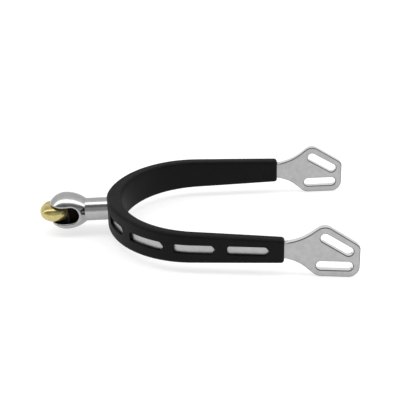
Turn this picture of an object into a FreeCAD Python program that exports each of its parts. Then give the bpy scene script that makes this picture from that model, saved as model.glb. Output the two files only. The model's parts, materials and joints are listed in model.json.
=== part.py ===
import FreeCAD, Part
import math
import os
import Sketcher

# One roller spur, in millimetres. +X runs from the heel to the strap plates, +Y is the far arm
# and +Z is up. The shapes are drawn with X = 0 at the outside of the heel and Z = 0 at mid-height
# of the arms, and every finished piece is then moved so that the origin is at the middle of the
# bottom of the whole spur.

os.makedirs("parts", exist_ok=True)

Vector = FreeCAD.Vector
UP = Vector(0, 0, 1)
TOUCH = 1e-3

doc = FreeCAD.newDocument("roller_spur")

# ---------------------------------------------------------------- driving dimensions

SIZES = {
    # the horseshoe seen from above, along the outside of the rubber cover
    "nose_radius": 22.5,
    "nose_angle": 10.0,
    "shoulder_radius": 46.6,
    "arm_flare": 4.0,
    # rubber cover
    "cover_end": 85.3,
    "cover_thickness": 5.2,
    "cover_heel_thickness": 7.5,
    "cover_heel_height": 17.0,
    "cover_middle_height": 14.8,
    "cover_end_height": 12.1,
    "cover_edge_radius": 1.5,
    # windows in the outside of the cover, placed by where they end along it from the heel
    "window_count": 4,
    "first_window_end": 27.3,
    "first_window_length": 15.0,
    "window_pitch": 24.75,
    "window_length": 19.4,
    "window_height": 4.5,
    "window_corner": 1.2,
    "window_point": 1.8,
    "window_rim_radius": 0.3,
    # steel band
    "outer_rubber": 1.4,
    "band_thickness": 3.0,
    "band_heel_height": 13.0,
    "band_arm_height": 7.3,
    "band_edge_radius": 0.6,
    "heel_part": 4.0,
    "heel_blend_radius": 20.0,
    # strap plates; places are counted back from the tip and up from the bottom
    "plate_tip": 119.7,
    "plate_bottom": -12.8,
    "upper_flank": 28.9,
    "upper_flank_radius": 25.0,
    "lower_flank": 29.9,
    "lower_flank_radius": 18.0,
    "peak_back": 16.4,
    "peak_height": 26.8,
    "peak_radius": 5.0,
    "tip_height": 16.2,
    "tip_radius": 3.0,
    "bottom_length": 19.2,
    "bottom_radius": 5.3,
    "slot_width": 4.5,
    "upper_slot_back": 10.6,
    "upper_slot_height": 16.7,
    "upper_slot_length": 16.8,
    "upper_slot_angle": -31.5,
    "lower_slot_back": 11.4,
    "lower_slot_height": 5.7,
    "lower_slot_length": 16.7,
    # shank
    "droop": 2.5,
    "neck_radius": 5.7,
    "neck_end": 10.6,
    "tenon_radius": 3.0,
    "ball_centre": 20.7,
    "ball_radius": 9.3,
    "fork_gap": 8.5,
    "fork_lift": 0.1,
    "fork_root": 13.7,
    "fork_web": 7.0,
    "fork_edge_radius": 0.8,
    # roller and its axle
    "roller_centre": 26.3,
    "roller_radius": 7.5,
    "roller_thickness": 7.8,
    "roller_clearance": 0.6,
    "axle_radius": 1.5,
    "axle_clearance": 0.06,
}

sheet = doc.addObject("Spreadsheet::Sheet", "Sizes")
for row, (alias, value) in enumerate(SIZES.items(), start=1):
    sheet.set("A%d" % row, alias.replace("_", " "))
    sheet.set("B%d" % row, repr(value))
    sheet.setAlias("B%d" % row, alias)
doc.recompute()


def size(alias):
    """The value of one driving dimension, read from the sheet."""
    return float(sheet.get(alias))


def bind(thing, **formulas):
    """Ties properties of an object to cells of the sheet."""
    for name, formula in formulas.items():
        thing.setExpression(name.replace("__", "."), formula)


# ---------------------------------------------------------------- helpers for sketches

def origin_plane(body, role):
    return [part for part in body.Origin.OriginFeatures if part.Role == role][0]


def new_sketch(body, name, role, offset=None):
    sketch = body.newObject("Sketcher::SketchObject", name)
    sketch.AttachmentSupport = [(origin_plane(body, role), "")]
    sketch.MapMode = "FlatFace"
    if offset:
        sketch.AttachmentOffset = offset
    return sketch


def arc(centre, radius, first, last):
    """An arc between two angles in degrees, anticlockwise."""
    circle = Part.Circle(Vector(centre[0], centre[1], 0), UP, radius)
    return Part.ArcOfCircle(circle, math.radians(first), math.radians(last))


def line(start, end):
    return Part.LineSegment(Vector(start[0], start[1], 0), Vector(end[0], end[1], 0))


def draw(sketch, edges):
    """Adds edges to a sketch and joins the ends that meet."""
    sketch.addGeometry(edges, False)
    ends = []
    for index in range(len(edges)):
        for vertex in (1, 2):
            ends.append((sketch.getPoint(index, vertex), index, vertex))
    for number, (point, index, vertex) in enumerate(ends):
        for other, other_index, other_vertex in ends[number + 1:]:
            if other_index != index and point.distanceToPoint(other) < 1e-6:
                sketch.addConstraint(Sketcher.Constraint("Coincident", index, vertex,
                                                         other_index, other_vertex))


def bind_radius(sketch, index, formula):
    """Ties the radius of an arc in a sketch to the sheet."""
    radius = sketch.Geometry[index].Radius
    constraint = sketch.addConstraint(Sketcher.Constraint("Radius", index, radius))
    sketch.setExpression("Constraints[%d]" % constraint, formula)


def rounded_outline(corners):
    """Lines and arcs round a closed outline. Each corner is x, y and its radius."""
    edges = []
    joints = []
    count = len(corners)
    for index in range(count):
        before = Vector(*corners[index - 1][:2], 0)
        here = Vector(*corners[index][:2], 0)
        after = Vector(*corners[(index + 1) % count][:2], 0)
        radius = corners[index][2]
        back = (before - here).normalize()
        on = (after - here).normalize()
        half = back.getAngle(on) / 2
        cut = radius / math.tan(half)
        start = here + back * cut
        end = here + on * cut
        joints.append((start, end))
        if radius > 0:
            bisector = (back + on).normalize()
            centre = here + bisector * (radius / math.sin(half))
            middle = centre - bisector * radius
            edges.append(Part.Arc(start, middle, end))
    for index in range(count):
        start = joints[index][1]
        end = joints[(index + 1) % count][0]
        if start.distanceToPoint(end) > 1e-6:
            edges.append(Part.LineSegment(start, end))
    return edges


def obround(x, y, length, width, angle):
    """A slot with round ends, its middle at x, y, turned by an angle in degrees."""
    turn = math.radians(angle)
    along = Vector(math.cos(turn), math.sin(turn), 0)
    across = Vector(-math.sin(turn), math.cos(turn), 0) * (width / 2)
    reach = along * ((length - width) / 2)
    middle = Vector(x, y, 0)
    tip = along * (length / 2)
    return [
        Part.LineSegment(middle - reach + across, middle + reach + across),
        Part.Arc(middle + reach + across, middle + tip, middle + reach - across),
        Part.LineSegment(middle + reach - across, middle - reach - across),
        Part.Arc(middle - reach - across, middle - tip, middle - reach + across),
    ]


def require_cut(feature, before):
    """A pocket that points the wrong way cuts nothing and shows no error."""
    doc.recompute()
    if feature.Shape.Volume > before - 1e-3:
        raise RuntimeError(feature.Name + " removed nothing")


# TALL is more than the height of any piece, and ACROSS is more than the width or length of the
# shank's head: tools that cut right through are that long. The surround is an outline that clears
# the whole spur, so that a pocket between it and another outline leaves only what is inside that.

TALL = 60
ACROSS = 30
SURROUND = rounded_outline([(-TALL, -TALL, 0), (4 * TALL, -TALL, 0), (4 * TALL, TALL, 0), (-TALL, TALL, 0)])

# ---------------------------------------------------------------- the horseshoe seen from above

FLARE = size("arm_flare")
SHOULDER_END = 90 - FLARE
NOSE_CENTRE = (size("nose_radius"), 0)
CENTRE_STEP = size("shoulder_radius") - size("nose_radius")
SHOULDER_CENTRE = (
    NOSE_CENTRE[0] + CENTRE_STEP * math.cos(math.radians(size("nose_angle"))),
    -CENTRE_STEP * math.sin(math.radians(size("nose_angle"))),
)


def turned(centre, radius, angle):
    """A point on an arc, its angle counted from the heel towards the arm's end."""
    swing = math.radians(angle)
    return (centre[0] - radius * math.cos(swing), centre[1] + radius * math.sin(swing))


def arm_point(inset, x):
    """A point on the straight part of the arm, inset from the outside of the cover."""
    start = turned(SHOULDER_CENTRE, size("shoulder_radius") - inset, SHOULDER_END)
    return (x, start[1] + (x - start[0]) * math.tan(math.radians(FLARE)))


def along_outside(distance):
    """Where a length along the outside of the cover ends, and how far it has turned there."""
    nose = size("nose_radius") * math.radians(size("nose_angle"))
    shoulder_turn = SHOULDER_END - size("nose_angle")
    shoulder = size("shoulder_radius") * math.radians(shoulder_turn)
    if distance < nose:
        turn = math.degrees(distance / size("nose_radius"))
        return turned(NOSE_CENTRE, size("nose_radius"), turn), turn
    if distance < nose + shoulder:
        turn = size("nose_angle") + math.degrees((distance - nose) / size("shoulder_radius"))
        return turned(SHOULDER_CENTRE, size("shoulder_radius"), turn), turn
    start = turned(SHOULDER_CENTRE, size("shoulder_radius"), SHOULDER_END)
    run = (distance - nose - shoulder) * math.cos(math.radians(FLARE))
    return arm_point(0, start[0] + run), SHOULDER_END


def inner_nose(depth, shoulder):
    """The arc across the heel, depth inside the outermost point, that runs into a shoulder arc.

    Its centre is on the centre line. Returns the centre, the radius and the angle of the join.
    """
    reach = shoulder + depth
    across = SHOULDER_CENTRE[0] ** 2 + SHOULDER_CENTRE[1] ** 2
    centre_x = (reach ** 2 - across) / (2 * (reach - SHOULDER_CENTRE[0]))
    angle = math.degrees(math.atan2(-SHOULDER_CENTRE[1], SHOULDER_CENTRE[0] - centre_x))
    return (centre_x, 0), centre_x - depth, angle


def half_strip(body, name, inset, thickness, heel_thickness, end_x):
    """Half of a strip that follows the horseshoe, from the heel to a square end at end_x."""
    nose = size("nose_radius") - inset
    shoulder = size("shoulder_radius") - inset
    nose_last = 180 - size("nose_angle")
    inner_centre, inner_radius, inner_angle = inner_nose(inset + heel_thickness, shoulder - thickness)
    outer_end = arm_point(inset, end_x)
    lean = math.radians(FLARE)
    inner_end = (outer_end[0] + thickness * math.sin(lean), outer_end[1] - thickness * math.cos(lean))
    sketch = new_sketch(body, name, "XY_Plane")
    draw(sketch, [
        arc(NOSE_CENTRE, nose, nose_last, 180),
        arc(SHOULDER_CENTRE, shoulder, FLARE + 90, nose_last),
        arc(SHOULDER_CENTRE, shoulder - thickness, FLARE + 90, 180 - inner_angle),
        arc(inner_centre, inner_radius, 180 - inner_angle, 180),
        line(turned(SHOULDER_CENTRE, shoulder, SHOULDER_END), outer_end),
        line(outer_end, inner_end),
        line(inner_end, turned(SHOULDER_CENTRE, shoulder - thickness, SHOULDER_END)),
        line((inset + heel_thickness, 0), (inset, 0)),
    ])
    bind_radius(sketch, 0, "Sizes.nose_radius - %g" % inset)
    bind_radius(sketch, 1, "Sizes.shoulder_radius - %g" % inset)
    bind_radius(sketch, 2, "Sizes.shoulder_radius - %g" % (inset + thickness))
    return sketch


def pad_half_strip(body, inset, thickness, heel_thickness, end_x):
    sketch = half_strip(body, body.Name + "_plan", inset, thickness, heel_thickness, end_x)
    pad = body.newObject("PartDesign::Pad", body.Name + "_strip")
    pad.Profile = sketch
    pad.SideType = "Symmetric"
    pad.Length = TALL
    doc.recompute()
    return pad


def pocket_through(body, name, edges, before):
    """Cuts an outline drawn in the XZ plane right through both ways."""
    sketch = new_sketch(body, name + "_outline", "XZ_Plane")
    draw(sketch, edges)
    pocket = body.newObject("PartDesign::Pocket", name)
    pocket.Profile = sketch
    pocket.SideType = "Symmetric"
    pocket.Type = "ThroughAll"
    require_cut(pocket, before.Shape.Volume)
    return pocket


def fillet_edges(body, name, feature, wanted, alias):
    """Rounds the edges of a feature that the test picks, with a radius from the sheet."""
    picked = []
    for number, edge in enumerate(feature.Shape.Edges, start=1):
        if wanted(edge):
            picked.append("Edge%d" % number)
    fillet = body.newObject("PartDesign::Fillet", name)
    fillet.Base = (feature, picked)
    bind(fillet, Radius="Sizes." + alias)
    doc.recompute()
    return fillet


def both_arms(half, name):
    """The half piece and its mirror image as one solid."""
    mirror = doc.addObject("Part::Mirroring", name + "_mirror")
    mirror.Source = half
    mirror.Normal = Vector(0, 1, 0)
    whole = doc.addObject("Part::Fuse", name + "_whole")
    whole.Base = half
    whole.Tool = mirror
    whole.Refine = True
    doc.recompute()
    return whole


def on_centre_plane(edge):
    return edge.BoundBox.YMax < TOUCH


def middle_of(edge):
    return edge.valueAt((edge.FirstParameter + edge.LastParameter) / 2)


def lies_on(edge, skin):
    """True if the middle of an edge is on a shell."""
    return skin.distToShape(Part.Vertex(middle_of(edge)))[0] < TOUCH


# ---------------------------------------------------------------- steel heel band

def band_side_outline():
    """The band and its strap plate seen from the side, as corners with their radii."""
    arm = size("band_arm_height") / 2
    heel = size("band_heel_height") / 2
    heel_end = size("heel_part")
    heel_blend = size("heel_blend_radius")
    tip = size("plate_tip")
    bottom = size("plate_bottom")
    return [
        (-TALL / 2, heel, 0),
        (heel_end, heel, heel_blend),
        (tip - size("upper_flank"), arm, size("upper_flank_radius")),
        (tip - size("peak_back"), bottom + size("peak_height"), size("peak_radius")),
        (tip, bottom + size("tip_height"), size("tip_radius")),
        (tip, bottom, size("bottom_radius")),
        (tip - size("bottom_length"), bottom, size("bottom_radius")),
        (tip - size("lower_flank"), -arm, size("lower_flank_radius")),
        (heel_end, -heel, heel_blend),
        (-TALL / 2, -heel, 0),
    ]


def strap_slots():
    tip = size("plate_tip")
    bottom = size("plate_bottom")
    width = size("slot_width")
    upper = obround(tip - size("upper_slot_back"), bottom + size("upper_slot_height"),
                    size("upper_slot_length"), width, size("upper_slot_angle"))
    lower = obround(tip - size("lower_slot_back"), bottom + size("lower_slot_height"),
                    size("lower_slot_length"), width, 0)
    return upper + lower


def band_blank():
    body = doc.addObject("PartDesign::Body", "band_half")
    thickness = size("band_thickness")
    strip = pad_half_strip(body, size("outer_rubber"), thickness, thickness, size("plate_tip") + thickness)
    side = pocket_through(body, "band_side", SURROUND + rounded_outline(band_side_outline()), strip)
    slots = pocket_through(body, "band_slots", strap_slots(), side)

    def along_the_band(edge):
        crosses_it = abs(edge.Length - thickness) < 0.01
        return not crosses_it and not on_centre_plane(edge)

    fillet_edges(body, "band_rounding", slots, along_the_band, "band_edge_radius")
    return both_arms(body, "band")


# ---------------------------------------------------------------- rubber cover

def cover_half_height(x):
    """Half the cover's height, on a parabola through its heel, its middle and its end."""
    end = size("cover_end")
    heel = size("cover_heel_height") / 2
    middle = size("cover_middle_height") / 2
    last = size("cover_end_height") / 2
    share = x / end
    return heel + (4 * middle - 3 * heel - last) * share + 2 * (heel + last - 2 * middle) * share ** 2


def cover_side_outline():
    """The cover from the side: a gentle arc above and below, run past both ends."""
    end = size("cover_end")
    beyond = size("cover_thickness")
    corners = []
    for x in (-beyond, end / 2, end + beyond):
        corners.append(Vector(x, cover_half_height(x), 0))
    low = [Vector(corner.x, -corner.y, 0) for corner in corners]
    return [
        Part.Arc(*corners),
        Part.LineSegment(corners[2], low[2]),
        Part.Arc(*low),
        Part.LineSegment(low[0], corners[0]),
    ]


def window_outline(length):
    """One window: square towards the heel, with a blunt point towards the arm's end."""
    reach = length / 2
    half = size("window_height") / 2
    corner = size("window_corner")
    point = size("window_point")
    return rounded_outline([
        (reach, half, corner),
        (reach, -half, corner),
        (-reach + point, -half, corner),
        (-reach, 0, corner / 2),
        (-reach + point, half, corner),
    ])


def cut_window(body, number, before):
    """A pocket down to the middle of the band's thickness, from a plane clear of the cover."""
    length = size("first_window_length") if number == 1 else size("window_length")
    end = size("first_window_end") + (number - 1) * size("window_pitch")
    place, turn = along_outside(end - length / 2)
    swing = math.radians(turn)
    outward = Vector(-math.cos(swing), math.sin(swing), 0)
    backward = Vector(-math.sin(swing), -math.cos(swing), 0)
    clear = size("band_thickness")
    middle = Vector(place[0], place[1], 0) + outward * clear
    rotation = FreeCAD.Rotation(backward, UP, outward, "ZXY")
    name = "window_%d" % number
    sketch = new_sketch(body, name + "_outline", "XY_Plane", FreeCAD.Placement(middle, rotation))
    draw(sketch, window_outline(length))
    pocket = body.newObject("PartDesign::Pocket", name)
    pocket.Profile = sketch
    pocket.Type = "Length"
    bind(pocket, Length="Sizes.outer_rubber + Sizes.band_thickness * 1.5")
    require_cut(pocket, before.Shape.Volume)
    return pocket


def cover_blank():
    body = doc.addObject("PartDesign::Body", "cover_half")
    thickness = size("cover_thickness")
    strip = pad_half_strip(body, 0, thickness, size("cover_heel_thickness"), size("cover_end"))
    side = pocket_through(body, "cover_side", SURROUND + cover_side_outline(), strip)

    def outer_edge(edge):
        at_the_end = edge.BoundBox.XMax > size("cover_end") - TOUCH
        upright_seam = edge.BoundBox.ZLength > size("cover_end_height") - 1
        return at_the_end or not (upright_seam or on_centre_plane(edge))

    feature = fillet_edges(body, "cover_rounding", side, outer_edge, "cover_edge_radius")
    skin = feature.Shape.Shells[0]
    for number in range(1, int(size("window_count")) + 1):
        feature = cut_window(body, number, feature)

    def window_rim(edge):
        level = size("window_height") / 2 + TOUCH
        in_the_band_of_windows = abs(middle_of(edge).z) < level and edge.BoundBox.ZLength < 2 * level
        on_the_end = middle_of(edge).x > size("cover_end") - size("cover_edge_radius")
        return in_the_band_of_windows and lies_on(edge, skin) and not (on_the_end or on_centre_plane(edge))

    fillet_edges(body, "window_rims", feature, window_rim, "window_rim_radius")
    return both_arms(body, "cover")


# ---------------------------------------------------------------- shank: tenon, neck and fork

SHANK_PLACE = FreeCAD.Placement(Vector(0, 0, 0), FreeCAD.Rotation(Vector(0, 1, 0), -size("droop")))


def on_shank(distance, axis=Vector(-1, 0, 0), shift=Vector(0, 0, 0)):
    """A placement a distance in front of the heel on the drooping axis, its own +Z along axis."""
    place = FreeCAD.Placement(Vector(-distance, 0, 0) + shift, FreeCAD.Rotation(UP, axis))
    return SHANK_PLACE.multiply(place)


def cylinder(name, placement, **formulas):
    made = doc.addObject("Part::Cylinder", name)
    made.Placement = placement
    bind(made, **formulas)
    return made


def cut(name, base, tool):
    made = doc.addObject("Part::Cut", name)
    made.Base = base
    made.Tool = tool
    return made


def ball():
    """The ball that holds the roller, turned in one with a longer arc that runs down to the neck."""
    body = doc.addObject("PartDesign::Body", "ball")
    centre = size("ball_centre")
    radius = size("ball_radius")
    neck_end = size("neck_end")
    neck = size("neck_radius")
    rear = centre - neck_end
    drop = radius - neck
    rear_radius = (rear ** 2 + drop ** 2) / (2 * drop)
    rear_first = math.degrees(math.acos(rear / rear_radius))
    sketch = new_sketch(body, "ball_profile", "XY_Plane")
    draw(sketch, [
        line((-neck_end, 0), (-neck_end, neck)),
        arc((-centre, radius - rear_radius), rear_radius, rear_first, 90),
        arc((-centre, 0), radius, 90, 180),
        line((-centre - radius, 0), (-neck_end, 0)),
    ])
    bind_radius(sketch, 2, "Sizes.ball_radius")
    turned_ball = body.newObject("PartDesign::Revolution", "turned_ball")
    turned_ball.Profile = sketch
    turned_ball.ReferenceAxis = (sketch, ["H_Axis"])
    turned_ball.Angle = 360
    doc.recompute()
    body.Placement = SHANK_PLACE
    doc.recompute()
    return body


def shank_blank(band, whole_ball):
    """Tenon, neck and ball in one. The neck's shoulder is coped to the outside of the band.

    The tenon leans with the neck, and stops where its foremost edge is level with the band's inside.
    """
    shoulder = size("outer_rubber") + size("band_thickness") / 2
    neck = cylinder("neck_bar", on_shank(-shoulder), Radius="Sizes.neck_radius",
                    Height="Sizes.neck_end + Sizes.outer_rubber + Sizes.band_thickness / 2")
    coped = cut("coped_neck", neck, band)
    lean = size("tenon_radius") * math.tan(math.radians(size("droop")))
    tenon_start = size("outer_rubber") + size("band_thickness") - lean
    tenon = cylinder("tenon", on_shank(-tenon_start), Radius="Sizes.tenon_radius",
                     Height="Sizes.neck_end + %.6f" % tenon_start)
    solid = doc.addObject("Part::MultiFuse", "shank_blank")
    solid.Shapes = [coped, tenon, whole_ball]
    solid.Refine = True
    return solid


def fork_web():
    """The upright web that joins the lips behind the roller, hollowed out to clear it."""
    web = doc.addObject("Part::Box", "web_plate")
    web.Height = ACROSS
    bind(web, Length="Sizes.roller_centre - Sizes.neck_end", Width="Sizes.fork_web")
    corner = Vector(0, -size("fork_web") / 2, -ACROSS / 2)
    web.Placement = on_shank(size("roller_centre"), UP, corner)
    pocket = cylinder("roller_pocket", on_shank(size("roller_centre"), UP, Vector(0, 0, -ACROSS / 2)),
                      Radius="Sizes.roller_radius + Sizes.roller_clearance")
    pocket.Height = ACROSS
    return cut("hollowed_web", web, pocket)


def fork_slot():
    """The gap that the roller turns in: a round root, open at the front and closed by the web."""
    gap = size("fork_gap")
    lift = size("fork_lift")
    root_centre = size("fork_root") + gap / 2
    seam_forward = FreeCAD.Rotation(Vector(-1, 0, 0), UP, Vector(0, 1, 0), "ZXY")
    root_place = FreeCAD.Placement(Vector(-root_centre, -ACROSS / 2, lift), seam_forward)
    root = cylinder("slot_root", SHANK_PLACE.multiply(root_place), Radius="Sizes.fork_gap / 2")
    root.Height = ACROSS
    mouth = doc.addObject("Part::Box", "slot_mouth")
    mouth.Length = ACROSS
    mouth.Width = ACROSS
    bind(mouth, Height="Sizes.fork_gap")
    mouth.Placement = on_shank(root_centre + ACROSS, UP, Vector(0, -ACROSS / 2, lift - gap / 2))
    gap_tool = doc.addObject("Part::Fuse", "fork_gap_tool")
    gap_tool.Base = root
    gap_tool.Tool = mouth
    return cut("fork_slot", gap_tool, fork_web())


def shank(band, whole_ball, axle_bar):
    """The blank with the fork cut out, its edges eased, and drilled for the axle."""
    forked = cut("forked_shank", shank_blank(band, whole_ball), fork_slot())
    doc.recompute()
    skin = whole_ball.Shape.Shells[0]
    half_gap = size("fork_gap") / 2 + TOUCH
    back = SHANK_PLACE.inverse()
    eased = doc.addObject("Part::Fillet", "eased_shank")
    eased.Base = forked
    rims = []
    for number, edge in enumerate(forked.Shape.Edges, start=1):
        middle = back.multVec(middle_of(edge))
        beside_the_slot = abs(middle.z - size("fork_lift")) < half_gap and middle.x < -size("fork_root")
        if beside_the_slot and lies_on(edge, skin):
            rims.append((number, size("fork_edge_radius"), size("fork_edge_radius")))
    eased.Edges = rims
    doc.recompute()
    return cut("drilled_shank", eased, axle_bar)


# ---------------------------------------------------------------- roller

def roller():
    """A wheel with a fully rounded rim and a bore for the axle."""
    body = doc.addObject("PartDesign::Body", "roller")
    outer = size("roller_radius")
    half = size("roller_thickness") / 2
    bore = size("axle_radius") + size("axle_clearance")
    sketch = new_sketch(body, "roller_section", "XZ_Plane")
    rim = outer - half
    draw(sketch, [
        line((bore, -half), (rim, -half)),
        arc((rim, 0), half, -90, 90),
        line((rim, half), (bore, half)),
        line((bore, half), (bore, -half)),
    ])
    wheel = body.newObject("PartDesign::Revolution", "roller_wheel")
    wheel.Profile = sketch
    wheel.ReferenceAxis = (sketch, ["V_Axis"])
    wheel.Angle = 360
    doc.recompute()
    body.Placement = on_shank(size("roller_centre"), UP, Vector(0, 0, size("fork_lift")))
    return body


def roller_axle(axle_bar, whole_ball):
    """A pin pressed through both lips of the fork and polished flush with the ball."""
    axle = doc.addObject("Part::Common", "flush_axle")
    axle.Base = axle_bar
    axle.Tool = whole_ball
    return axle


# ---------------------------------------------------------------- assembly

def grip_sleeve(band):
    """The rubber cover, hollowed by the band it was moulded on and open for the neck."""
    hollow = cut("hollow_cover", cover_blank(), band)
    neck_hole = cylinder("neck_hole", on_shank(-size("outer_rubber") - size("band_thickness") / 2),
                         Radius="Sizes.neck_radius")
    neck_hole.Height = ACROSS
    return cut("opened_cover", hollow, neck_hole)


def heel_band(band):
    """The steel band, drilled at the heel for the shank's tenon."""
    hole = cylinder("tenon_hole", on_shank(-ACROSS / 2), Radius="Sizes.tenon_radius")
    hole.Height = ACROSS
    return cut("drilled_band", band, hole)


def build_pieces():
    band = band_blank()
    whole_ball = ball()
    axle_bar = cylinder("axle_bar", on_shank(size("roller_centre"), UP, Vector(0, 0, -ACROSS / 2)),
                        Radius="Sizes.axle_radius")
    axle_bar.Height = ACROSS
    pieces = {
        "heel_band": heel_band(band),
        "grip_sleeve": grip_sleeve(band),
        "shank": shank(band, whole_ball, axle_bar),
        "roller": roller(),
        "roller_axle": roller_axle(axle_bar, whole_ball),
    }
    doc.recompute()
    return pieces


def stand_on_origin(pieces):
    """Moves every piece so that the origin is at the middle of the bottom of the spur."""
    whole = FreeCAD.BoundBox()
    for piece in pieces.values():
        whole.add(piece.Shape.optimalBoundingBox(False))
    shift = FreeCAD.Placement(Vector(-whole.Center.x, 0, -whole.ZMin), FreeCAD.Rotation())
    for label, piece in pieces.items():
        piece.Placement = shift.multiply(piece.Placement)
        piece.Label = label
    doc.recompute()
    print("moved by", shift.Base)


def check(pieces):
    for thing in doc.Objects:
        if "Invalid" in thing.State or "Error" in thing.State:
            raise RuntimeError(thing.Name + " failed: " + str(thing.State))
    for label, piece in pieces.items():
        if piece.Shape.isNull() or not piece.Shape.isValid() or len(piece.Shape.Solids) != 1:
            raise RuntimeError(label + " is not one sound solid")
        print(label, round(piece.Shape.Volume, 1), piece.Shape.optimalBoundingBox(False))


def main():
    pieces = build_pieces()
    stand_on_origin(pieces)
    check(pieces)
    for label, piece in pieces.items():
        piece.Shape.exportStep("parts/" + label + ".step")


main()
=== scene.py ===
import json
import math
import bpy
from mathutils import Matrix, Vector


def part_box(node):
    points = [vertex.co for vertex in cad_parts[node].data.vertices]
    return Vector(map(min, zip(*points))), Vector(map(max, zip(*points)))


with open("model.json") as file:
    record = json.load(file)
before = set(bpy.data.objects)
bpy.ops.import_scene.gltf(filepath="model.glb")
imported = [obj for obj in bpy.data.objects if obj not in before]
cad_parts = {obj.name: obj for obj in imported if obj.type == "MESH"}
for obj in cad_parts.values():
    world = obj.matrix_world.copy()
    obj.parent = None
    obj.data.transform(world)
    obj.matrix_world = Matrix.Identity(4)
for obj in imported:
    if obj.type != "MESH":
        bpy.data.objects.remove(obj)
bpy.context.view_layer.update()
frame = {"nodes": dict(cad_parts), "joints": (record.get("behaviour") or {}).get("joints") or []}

# Metres, in the frame of the CAD model: +X runs from the roller to the strap plates, +Y is the far
# arm, +Z is up, and the spur stands on Z = 0.

MM = 0.001

# ------------------------------------------------------------------------------ node helpers


def new_material(name):
    """An empty node material with a Principled shader and an output."""
    material = bpy.data.materials.new(name)
    material.use_nodes = True
    nodes = material.node_tree.nodes
    nodes.clear()
    output = nodes.new("ShaderNodeOutputMaterial")
    shader = nodes.new("ShaderNodeBsdfPrincipled")
    material.node_tree.links.new(shader.outputs["BSDF"], output.inputs["Surface"])
    return material, shader


class Wiring:
    """Short ways to add and join nodes in one material."""

    def __init__(self, material):
        self.tree = material.node_tree
        self.place = self.add("ShaderNodeTexCoord").outputs["Object"]

    def add(self, kind, **settings):
        node = self.tree.nodes.new(kind)
        for name, value in settings.items():
            setattr(node, name, value)
        return node

    def join(self, source, target):
        self.tree.links.new(source, target)

    def feed(self, socket, value):
        """Joins a socket to another, or sets its plain value."""
        if isinstance(value, bpy.types.NodeSocket):
            self.join(value, socket)
        else:
            socket.default_value = value

    def facing(self, axis):
        """How much the surface faces along one of the object's axes, from -1 to 1."""
        parts = self.add("ShaderNodeSeparateXYZ")
        self.join(self.add("ShaderNodeTexCoord").outputs["Normal"], parts.inputs["Vector"])
        return parts.outputs[axis]

    def stretched(self, stretch, turn=(0.0, 0.0, 0.0)):
        """The object's own coordinates, turned and then scaled along each axis."""
        turned = self.add("ShaderNodeVectorRotate", rotation_type="EULER_XYZ")
        turned.inputs["Rotation"].default_value = turn
        self.join(self.place, turned.inputs["Vector"])
        scaled = self.add("ShaderNodeVectorMath", operation="MULTIPLY")
        self.join(turned.outputs["Vector"], scaled.inputs[0])
        scaled.inputs[1].default_value = stretch
        return scaled.outputs["Vector"]

    def noise(self, scale, detail=3.0, roughness=0.5, where=None):
        node = self.add("ShaderNodeTexNoise")
        self.join(where or self.place, node.inputs["Vector"])
        node.inputs["Scale"].default_value = scale
        node.inputs["Detail"].default_value = detail
        node.inputs["Roughness"].default_value = roughness
        return node.outputs["Fac"]

    def span(self, value, low, high, to_low=0.0, to_high=1.0):
        """Maps low..high to to_low..to_high and clamps."""
        node = self.add("ShaderNodeMapRange")
        self.join(value, node.inputs["Value"])
        node.inputs["From Min"].default_value = low
        node.inputs["From Max"].default_value = high
        node.inputs["To Min"].default_value = to_low
        node.inputs["To Max"].default_value = to_high
        return node.outputs["Result"]

    def math(self, operation, first, second=0.0):
        node = self.add("ShaderNodeMath", operation=operation)
        self.feed(node.inputs[0], first)
        self.feed(node.inputs[1], second)
        return node.outputs["Value"]

    def vector(self, operation, first, second=(0.0, 0.0, 0.0)):
        """Vector arithmetic: a number for a dot product or a length, and else a vector."""
        node = self.add("ShaderNodeVectorMath", operation=operation)
        self.feed(node.inputs[0], first)
        self.feed(node.inputs[1], second)
        gives_number = operation in ("DOT_PRODUCT", "LENGTH")
        return node.outputs["Value" if gives_number else "Vector"]

    def mix(self, share, first, second):
        """Blends two colours by a share from 0 to 1."""
        node = self.add("ShaderNodeMix", data_type="RGBA")
        self.feed(node.inputs["Factor"], share)
        self.feed(node.inputs["A"], first)
        self.feed(node.inputs["B"], second)
        return node.outputs["Result"]

    def bump(self, height, distance, strength=1.0, before=None):
        node = self.add("ShaderNodeBump")
        self.join(height, node.inputs["Height"])
        node.inputs["Distance"].default_value = distance
        node.inputs["Strength"].default_value = strength
        if before:
            self.join(before, node.inputs["Normal"])
        return node.outputs["Normal"]


def grey(level, warmth=0.0):
    return (level * (1 + warmth), level, level * (1 - warmth), 1.0)


# ------------------------------------------------------------------------------ materials


def rubber():
    """Matt black moulded rubber: fine grain, soft pores, faint dust and rubbed patches."""
    material, shader = new_material("cover_rubber")
    wire = Wiring(material)
    grain = wire.noise(5200, 4.0, 0.6)
    pores = wire.noise(1500, 2.0, 0.5)
    dust = wire.span(wire.noise(95, 5.0, 0.62), 0.50, 0.80)
    rubbed = wire.span(wire.noise(38, 3.0, 0.5), 0.42, 0.68)
    colour = wire.mix(dust, grey(0.0022), grey(0.0060, 0.03))
    colour = wire.mix(wire.math("MULTIPLY", rubbed, 0.35), colour, grey(0.0042))
    wire.join(colour, shader.inputs["Base Color"])
    matt = wire.span(grain, 0.3, 0.7, 0.50, 0.60)
    patches = wire.math("SUBTRACT", matt, wire.math("MULTIPLY", rubbed, 0.06))
    rough = wire.math("ADD", patches, wire.math("MULTIPLY", dust, 0.10))
    wire.join(rough, shader.inputs["Roughness"])
    shader.inputs["Specular IOR Level"].default_value = 0.115
    fine = wire.bump(grain, 0.08 * MM, 0.7)
    wire.join(wire.bump(pores, 0.12 * MM, 0.5, fine), shader.inputs["Normal"])
    return material


COVER_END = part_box("grip_sleeve")[1].x


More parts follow.
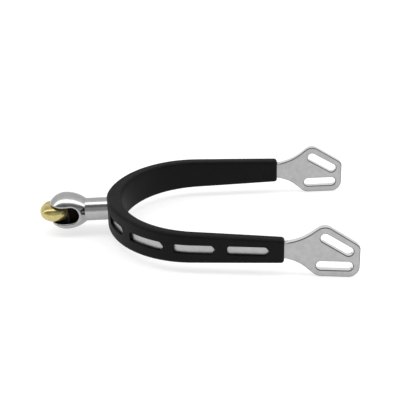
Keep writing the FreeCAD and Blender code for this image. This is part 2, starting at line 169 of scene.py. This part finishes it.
def scratches(wire, density, stretch, turn):
    """Sparse hairlines, 1 on a line and 0 beside it, along one direction of the surface."""
    lines = wire.noise(density, 1.0, 0.4, wire.stretched(stretch, turn))
    centre = wire.math("ABSOLUTE", wire.math("SUBTRACT", lines, 0.5))
    where = wire.span(wire.noise(density * 0.12, 2.0, 0.5), 0.50, 0.62)
    return wire.math("MULTIPLY", wire.span(centre, 0.0, 0.012, 1.0, 0.0), where)


def satin_steel():
    """The band and its strap plates: tumbled faces, rims with a painted highlight and smoother polish,
    and a painted dark line of shade on the edge curve between them.
    """
    material, shader = new_material("band_steel")
    wire = Wiring(material)
    tumbling = wire.noise(1300, 4.0, 0.62)
    brushing = wire.noise(900, 3.0, 0.6, wire.stretched((0.14, 1.0, 1.0)))
    mottling = wire.noise(330, 5.0, 0.6)
    hairlines = wire.math("MAXIMUM", scratches(wire, 210, (0.22, 1, 1.6), (0, 0.5, 0)),
                          scratches(wire, 170, (0.30, 1, 1.4), (0, -0.9, 0)))
    parts = wire.add("ShaderNodeSeparateXYZ")
    wire.join(wire.place, parts.inputs["Vector"])
    on_plate = wire.span(parts.outputs["X"], COVER_END, COVER_END + 2 * MM)
    sideways = wire.math("ABSOLUTE", wire.facing("Y"))
    # Painted highlight: the plate rims get a lighter colour by the way they face; their lower roughness
    # further down is real polish.
    polished_rim_painted_highlight = wire.math("MULTIPLY", wire.span(sideways, 0.80, 0.97, 1.0, 0.0), on_plate)
    past_rim = wire.span(sideways, 0.25, 0.45)
    short_of_face = wire.span(sideways, 0.90, 0.985, 1.0, 0.0)
    # Painted shade: a dark line where the plate edges curve round from face to rim.
    rounding_painted_shade = wire.math("MULTIPLY", wire.math("MULTIPLY", past_rim, short_of_face), on_plate)
    colour = wire.mix(wire.span(mottling, 0.34, 0.68), grey(0.385), grey(0.455))
    colour = wire.mix(wire.math("MULTIPLY", hairlines, 0.30), colour, grey(0.30))
    # Painted highlight on the rims, then painted shade on the edge curves between face and rim.
    colour = wire.mix(polished_rim_painted_highlight, colour, grey(0.70))
    wire.join(wire.mix(rounding_painted_shade, colour, grey(0.13)), shader.inputs["Base Color"])
    shader.inputs["Metallic"].default_value = 1.0
    satin = wire.math("ADD", wire.span(brushing, 0.3, 0.7, 0.30, 0.38),
                      wire.span(mottling, 0.3, 0.7, 0, 0.05))
    polish = wire.span(mottling, 0.3, 0.7, 0.12, 0.20)
    smoother = wire.math("MULTIPLY", polished_rim_painted_highlight, wire.math("SUBTRACT", polish, satin))
    wire.join(wire.math("ADD", satin, smoother), shader.inputs["Roughness"])
    low = wire.bump(tumbling, 0.04 * MM, 0.45)
    wire.join(wire.bump(brushing, 0.03 * MM, 0.30, low), shader.inputs["Normal"])
    return material


ROLLER_JOINT = [joint for joint in frame["joints"] if joint["name"] == "roller_spin"][0]
AXLE_PLACE = Vector(ROLLER_JOINT["pos_m"])
AXLE_LINE = Vector(ROLLER_JOINT["axis"]).normalized()
ALONG_NECK = Vector((0, 1, 0)).cross(AXLE_LINE).normalized()
FORK_HALF_GAP = 4.25 * MM
FORK_ROOT_BEHIND = 8.35 * MM


def fork_inside(wire):
    """1 on the walls within the fork and 0 outside it: a round-ended slot about the roller, the mask for
    the painted shade in the fork.
    """
    from_axle = wire.vector("SUBTRACT", wire.place, AXLE_PLACE)
    along = wire.vector("DOT_PRODUCT", from_axle, ALONG_NECK)
    height = wire.vector("DOT_PRODUCT", from_axle, AXLE_LINE)
    past_root = wire.math("MAXIMUM", wire.math("SUBTRACT", along, FORK_ROOT_BEHIND), 0.0)
    squared = wire.math("ADD", wire.math("POWER", past_root, 2.0), wire.math("POWER", height, 2.0))
    outside = wire.math("SUBTRACT", wire.math("SQRT", squared), FORK_HALF_GAP)
    return wire.span(outside, 0.03 * MM, 0.22 * MM, 1.0, 0.0)


def polished_steel():
    """The shank: polished stainless steel with hairlines, and painted shade that turns the walls of the
    fork near black.
    """
    material, shader = new_material("shank_steel")
    wire = Wiring(material)
    haze = wire.noise(420, 5.0, 0.6)
    orange_peel = wire.noise(600, 2.0, 0.5)
    hairlines = wire.math("MAXIMUM", scratches(wire, 260, (0.25, 1.5, 1.5), (0, 0.1, 0.3)),
                          scratches(wire, 200, (1.4, 0.3, 1.2), (0.4, 0, -0.5)))
    fork_painted_shade = fork_inside(wire)
    colour = wire.mix(wire.span(haze, 0.34, 0.70), grey(0.355), grey(0.405))
    colour = wire.mix(wire.math("MULTIPLY", hairlines, 0.25), colour, grey(0.30))
    # Painted shade: the walls of the fork get a near-black colour.
    wire.join(wire.mix(fork_painted_shade, colour, grey(0.006, 0.15)), shader.inputs["Base Color"])
    shader.inputs["Metallic"].default_value = 1.0
    polish = wire.math("ADD", wire.span(haze, 0.3, 0.72, 0.09, 0.17),
                       wire.math("MULTIPLY", hairlines, 0.08))
    wire.join(wire.math("ADD", polish, wire.math("MULTIPLY", fork_painted_shade, 0.45)), shader.inputs["Roughness"])
    wire.join(wire.bump(orange_peel, 0.02 * MM, 0.22), shader.inputs["Normal"])
    return material


BRASS = (0.60, 0.510, 0.215, 1)
TARNISHED_BRASS = (0.47, 0.395, 0.155, 1)
STAINED_BRASS = (0.33, 0.265, 0.095, 1)
TURNING_RING = 0.16 * MM


def polished_brass():
    """The roller: brass turned on a lathe and polished, a little tarnished and dented."""
    material, shader = new_material("roller_brass")
    wire = Wiring(material)
    tarnish = wire.noise(420, 5.0, 0.62)
    blotches = wire.noise(150, 3.0, 0.5)
    from_axle = wire.vector("SUBTRACT", wire.place, AXLE_PLACE)
    height = wire.vector("DOT_PRODUCT", from_axle, AXLE_LINE)
    out = wire.vector("LENGTH", wire.vector("CROSS_PRODUCT", from_axle, AXLE_LINE))
    phase = wire.math("MULTIPLY", wire.math("ADD", out, height), 2 * math.pi / TURNING_RING)
    rings = wire.math("SINE", phase)
    dents = wire.noise(900, 3.0, 0.55)
    colour = wire.mix(wire.span(tarnish, 0.34, 0.70), BRASS, TARNISHED_BRASS)
    colour = wire.mix(wire.span(blotches, 0.52, 0.70), colour, STAINED_BRASS)
    wire.join(colour, shader.inputs["Base Color"])
    shader.inputs["Metallic"].default_value = 0.75
    wire.join(wire.span(tarnish, 0.3, 0.72, 0.09, 0.20), shader.inputs["Roughness"])
    turned = wire.bump(rings, 0.002 * MM, 0.35)
    wire.join(wire.bump(dents, 0.05 * MM, 0.75, turned), shader.inputs["Normal"])
    return material


def pin_steel():
    """The ends of the axle, ground flush with the ball: faint grinding marks."""
    material, shader = new_material("axle_steel")
    wire = Wiring(material)
    grinding = wire.noise(1800, 3.0, 0.6, wire.stretched((1.0, 0.15, 1.0)))
    wire.join(wire.mix(grinding, grey(0.37), grey(0.45)), shader.inputs["Base Color"])
    shader.inputs["Metallic"].default_value = 1.0
    wire.join(wire.span(grinding, 0.3, 0.7, 0.13, 0.22), shader.inputs["Roughness"])
    wire.join(wire.bump(grinding, 0.02 * MM, 0.4), shader.inputs["Normal"])
    return material


def dress(node, material):
    """Gives a CAD node one material in all its slots."""
    mesh = frame["nodes"][node].data
    if not mesh.materials:
        mesh.materials.append(material)
    for slot in range(len(mesh.materials)):
        mesh.materials[slot] = material


dress("grip_sleeve", rubber())
dress("heel_band", satin_steel())
dress("shank", polished_steel())
dress("roller", polished_brass())
dress("roller_axle", pin_steel())

# ------------------------------------------------------------------------------ floor, light, camera


def floor():
    """A plain pale floor, far larger than the view, with a faint glow that keeps its shadows light."""
    reach = 6.0
    mesh = bpy.data.meshes.new("floor")
    corners = [(-reach, -reach, 0), (reach, -reach, 0), (reach, reach, 0), (-reach, reach, 0)]
    mesh.from_pydata(corners, [], [(0, 1, 2, 3)])
    plane = bpy.data.objects.new("floor", mesh)
    bpy.context.scene.collection.objects.link(plane)
    material, shader = new_material("floor")
    shader.inputs["Base Color"].default_value = grey(0.45)
    shader.inputs["Emission Color"].default_value = grey(1.0)
    shader.inputs["Emission Strength"].default_value = 0.62
    shader.inputs["Roughness"].default_value = 0.9
    shader.inputs["Specular IOR Level"].default_value = 0.1
    mesh.materials.append(material)


# Brightness of the studio by direction, over the top from the camera's side at 0 degrees to the
# back at 180: a dim front, a dark gap, a bright narrow softbox overhead and a pale back wall.
STUDIO = [(0, 0.80), (18, 0.45), (34, 0.52), (43, 0.33), (53, 0.18), (63, 0.32), (72, 1.0), (78, 3.6),
          (92, 3.6), (99, 1.25), (120, 1.0), (180, 0.85)]


def studio():
    world = bpy.data.worlds.new("studio")
    bpy.context.scene.world = world
    world.use_nodes = True
    tree = world.node_tree
    tree.nodes.clear()
    direction = tree.nodes.new("ShaderNodeTexCoord").outputs["Generated"]
    parts = tree.nodes.new("ShaderNodeSeparateXYZ")
    tree.links.new(direction, parts.inputs["Vector"])
    front = tree.nodes.new("ShaderNodeMath")
    front.operation = "MULTIPLY"
    front.inputs[1].default_value = -1.0
    tree.links.new(parts.outputs["Y"], front.inputs[0])
    angle = tree.nodes.new("ShaderNodeMath")
    angle.operation = "ARCTAN2"
    tree.links.new(parts.outputs["Z"], angle.inputs[0])
    tree.links.new(front.outputs["Value"], angle.inputs[1])
    share = tree.nodes.new("ShaderNodeMath")
    share.operation = "DIVIDE"
    share.inputs[1].default_value = math.pi
    tree.links.new(angle.outputs["Value"], share.inputs[0])
    ramp = tree.nodes.new("ShaderNodeValToRGB")
    tree.links.new(share.outputs["Value"], ramp.inputs["Fac"])
    stops = ramp.color_ramp.elements
    while len(stops) < len(STUDIO):
        stops.new(0.5)
    for stop, (degrees, level) in zip(stops, STUDIO):
        stop.position = degrees / 180
        stop.color = grey(level)
    background = tree.nodes.new("ShaderNodeBackground")
    tree.links.new(ramp.outputs["Color"], background.inputs["Color"])
    output = tree.nodes.new("ShaderNodeOutputWorld")
    tree.links.new(background.outputs["Background"], output.inputs["Surface"])


def camera():
    """The viewpoint: a long lens, a little right of square on, looking down at the near arm."""
    azimuth = math.radians(2.18)
    elevation = math.radians(27.0)
    roll = math.radians(-1.43)
    distance = 505.3 * MM
    aim = Vector((2.94, 0.0, 16.97)) * MM
    back = Vector((math.sin(azimuth) * math.cos(elevation),
                   -math.cos(azimuth) * math.cos(elevation), math.sin(elevation)))
    data = bpy.data.cameras.new("camera")
    data.sensor_width = 36.0
    data.lens = 92.24
    data.clip_start = 0.01
    data.clip_end = 50.0
    viewer = bpy.data.objects.new("camera", data)
    bpy.context.scene.collection.objects.link(viewer)
    turn = back.to_track_quat("Z", "Y").to_matrix().to_4x4()
    viewer.matrix_world = Matrix.Translation(aim + back * distance) @ turn @ Matrix.Rotation(roll, 4, "Z")
    bpy.context.scene.camera = viewer


floor()
studio()
camera()
bpy.context.scene.view_settings.view_transform = "Standard"
